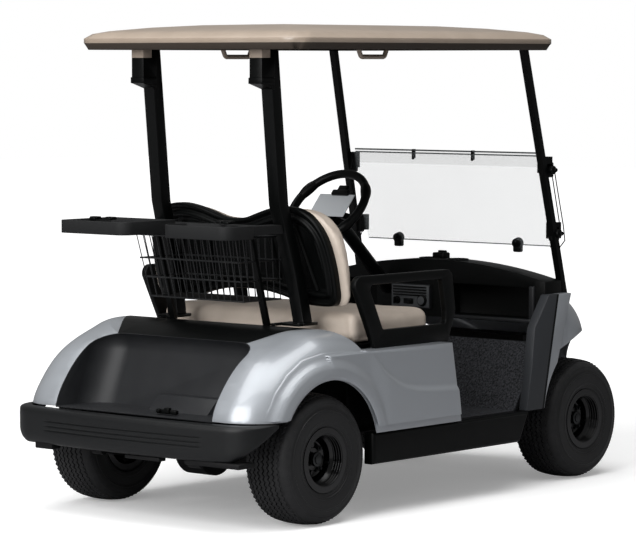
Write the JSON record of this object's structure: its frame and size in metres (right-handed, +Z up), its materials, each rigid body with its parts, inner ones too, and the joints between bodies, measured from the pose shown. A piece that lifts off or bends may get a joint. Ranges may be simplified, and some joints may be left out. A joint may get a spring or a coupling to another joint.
{
  "type": "golf cart",
  "caption": "Two-seat electric golf cart with a hard roof, folding windshield, bench seat, bag holder and wire basket, on steered front and driven rear wheels.",
  "frame": {"origin": "on the ground under the middle of the cart", "axes": "+X forward, +Y to the left, +Z up"},
  "size_m": [2.42, 1.2, 1.8],
  "materials": {
    "tyre": "matte rubber",
    "rubber": "ribbed mat",
    "black_steel": "satin black powder coat",
    "silver_paint": "metallic silver",
    "black_plastic": "grained",
    "charcoal_plastic": "grained",
    "roof_plastic": "fine grain",
    "seat_vinyl": "soft vinyl",
    "clear_acrylic": "clear"
  },
  "bodies": {
    "cart": {"chassis_rails": "black_steel", "chassis_cross_members": "black_steel", "shock_tower": "black_steel", "rear_axle": "black_steel", "rear_springs": "black_steel", "battery_pack": "black_plastic", "front_arms": "black_steel", "front_dampers": "black_steel", "steering_column": "black_steel", "floor_pan": "black_plastic", "floor_mat": "rubber", "rockers": "black_plastic", "rear_body": "silver_paint", "rear_deck": "black_plastic", "bagwell": "charcoal_plastic", "rear_bumper": "charcoal_plastic", "seat_base": "black_plastic", "seat_board": "black_plastic", "seat_cushion": "seat_vinyl", "seat_back_shell": "black_plastic", "seat_back_cushion": "seat_vinyl", "armrests": "black_plastic", "rear_struts": "black_steel", "front_struts": "black_steel", "roof": "roof_plastic", "roof_grips": "roof_plastic", "windshield": "clear_acrylic", "front_cowl": "silver_paint", "headlamps": "clear_acrylic", "cowl_sides": "charcoal_plastic", "front_bumper": "charcoal_plastic", "dash": "black_plastic", "switch_panel": "charcoal_plastic", "pedals": "black_steel", "bag_holder": "black_plastic", "basket": "black_steel", "basket_uprights": "black_steel"},
    "rear_left_wheel": {"tyre_rear_left": "tyre", "rim_rear_left": "black_steel"},
    "rear_right_wheel": {"tyre_rear_right": "tyre", "rim_rear_right": "black_steel"},
    "front_left_wheel": {"tyre_front_left": "tyre", "rim_front_left": "black_steel"},
    "front_right_wheel": {"tyre_front_right": "tyre", "rim_front_right": "black_steel"},
    "left_knuckle": {"knuckle_left": "black_steel"},
    "right_knuckle": {"knuckle_right": "black_steel"},
    "track_rod": {"tie_rod": "black_steel"},
    "helm": {"steering_wheel": "black_plastic"}
  },
  "joints": [
    {"name": "spin_rear_left", "type": "hinge", "parent": "cart", "child": "rear_left_wheel", "pos_m": [-0.745, 0.49, 0.238], "axis": [0, 1, 0], "continuous": true},
    {"name": "spin_rear_right", "type": "hinge", "parent": "cart", "child": "rear_right_wheel", "pos_m": [-0.745, -0.49, 0.238], "axis": [0, 1, 0], "continuous": true},
    {"name": "spin_front_left", "type": "hinge", "parent": "left_knuckle", "child": "front_left_wheel", "pos_m": [0.915, 0.435, 0.238], "axis": [0, 1, 0], "continuous": true},
    {"name": "spin_front_right", "type": "hinge", "parent": "right_knuckle", "child": "front_right_wheel", "pos_m": [0.915, -0.435, 0.238], "axis": [0, 1, 0], "continuous": true},
    {"name": "steer_left", "type": "hinge", "parent": "cart", "child": "left_knuckle", "pos_m": [0.915, 0.306, 0.238], "axis": [0, 0, 1], "range_deg": [-26, 26]},
    {"name": "steer_right", "type": "hinge", "parent": "cart", "child": "right_knuckle", "pos_m": [0.915, -0.306, 0.238], "axis": [0, 0, 1], "range_deg": [-26, 26]},
    {"name": "tie_rod_slide", "type": "slide", "parent": "cart", "child": "track_rod", "axis": [0, 1, 0], "range_m": [-0.045, 0.045]},
    {"name": "steering_wheel_turn", "type": "hinge", "parent": "cart", "child": "helm", "pos_m": [0.25, 0.25, 1.084], "axis": [-0.7431, 0, 0.6691], "range_deg": [-320, 320]}
  ],
  "couplings": [
    {"joint": "steer_right", "follows": "steer_left", "ratio": 1},
    {"joint": "tie_rod_slide", "follows": "steer_left", "m_per_rad": -0.095},
    {"joint": "steering_wheel_turn", "follows": "steer_left", "ratio": 12}
  ]
}
